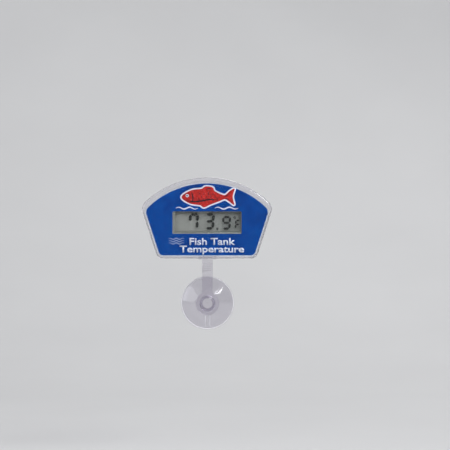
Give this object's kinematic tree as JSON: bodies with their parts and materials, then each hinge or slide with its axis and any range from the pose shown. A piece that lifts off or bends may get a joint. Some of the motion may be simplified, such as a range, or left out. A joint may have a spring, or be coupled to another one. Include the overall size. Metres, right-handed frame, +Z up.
{
  "type": "digital aquarium thermometer",
  "caption": "Battery-run aquarium thermometer in a clear case with a blue face and a liquid-crystal display, hung from a suction cup on a sliding arm.",
  "frame": {"origin": "centre of the suction cup's rim, on the tank's glass", "axes": "+Y points into the glass the cup sticks to, so the display faces -Y; +Z is up towards the case; +X is to the right of someone reading the display"},
  "size_m": [0.0592, 0.0274, 0.0707],
  "materials": {
    "clear_plastic": "clear, polished",
    "clear_vinyl": "clear, soft and glossy",
    "blue_print": "printed film, slightly mottled",
    "polarizer_film": "smooth neutral film",
    "display_glass": "polished",
    "segment_dark": "dark liquid-crystal figures",
    "reflector_grey": "grey-green reflective film",
    "white_plastic": "moulded, satin",
    "zebra_rubber": "finely striped elastomer",
    "board_green": "solder mask with copper tracks",
    "screw_steel": "zinc plated",
    "black_resin": "satin epoxy",
    "bright_metal": "tinned and bright",
    "tan_ceramic": "fired ceramic",
    "cell_steel": "nickel-plated steel",
    "nylon_gasket": "translucent nylon",
    "oring_rubber": "smooth black rubber"
  },
  "bodies": {
    "cup": {"suction_cup": "clear_vinyl"},
    "hanger": {"hanger_arm": "clear_plastic"},
    "case": {"front_case": "clear_plastic", "rear_case": "clear_plastic", "face_label": "blue_print", "lcd_polarizer": "polarizer_film", "lcd_front_glass": "display_glass", "lcd_segments": "segment_dark", "lcd_rear_glass": "display_glass", "lcd_reflector": "reflector_grey", "lcd_holder": "white_plastic", "zebra_strips": "zebra_rubber", "circuit_board": "board_green", "board_screws": "screw_steel", "chip_blob": "black_resin", "crystal_can": "bright_metal", "chip_resistors": "black_resin", "chip_capacitors": "tan_ceramic", "thermistor_bead": "black_resin", "thermistor_leads": "bright_metal", "negative_contact": "bright_metal", "positive_contact": "bright_metal", "inner_cell_can": "cell_steel", "inner_cell_gasket": "nylon_gasket", "inner_cell_cap": "cell_steel", "outer_cell_can": "cell_steel", "outer_cell_gasket": "nylon_gasket", "outer_cell_cap": "cell_steel"},
    "seal": {"cap_oring": "oring_rubber"},
    "cap": {"battery_cap": "clear_plastic"}
  },
  "joints": [
    {"name": "arm_swivel", "type": "hinge", "parent": "cup", "child": "hanger", "pos_m": [0, -0.0062, 0], "axis": [0, 1, 0], "continuous": true},
    {"name": "case_slide", "type": "slide", "parent": "hanger", "child": "case", "axis": [0, 0, 1], "range_m": [0, 0.012]},
    {"name": "cap_rise", "type": "slide", "parent": "case", "child": "seal", "axis": [0, 1, 0], "range_m": [0, 0.005]},
    {"name": "cap_turn", "type": "hinge", "parent": "seal", "child": "cap", "pos_m": [0, -0.0074, 0.044], "axis": [0, 1, 0], "range_deg": [0, 450]}
  ],
  "couplings": [
    {"joint": "cap_turn", "follows": "cap_rise", "rad_per_m": 1570.8}
  ]
}
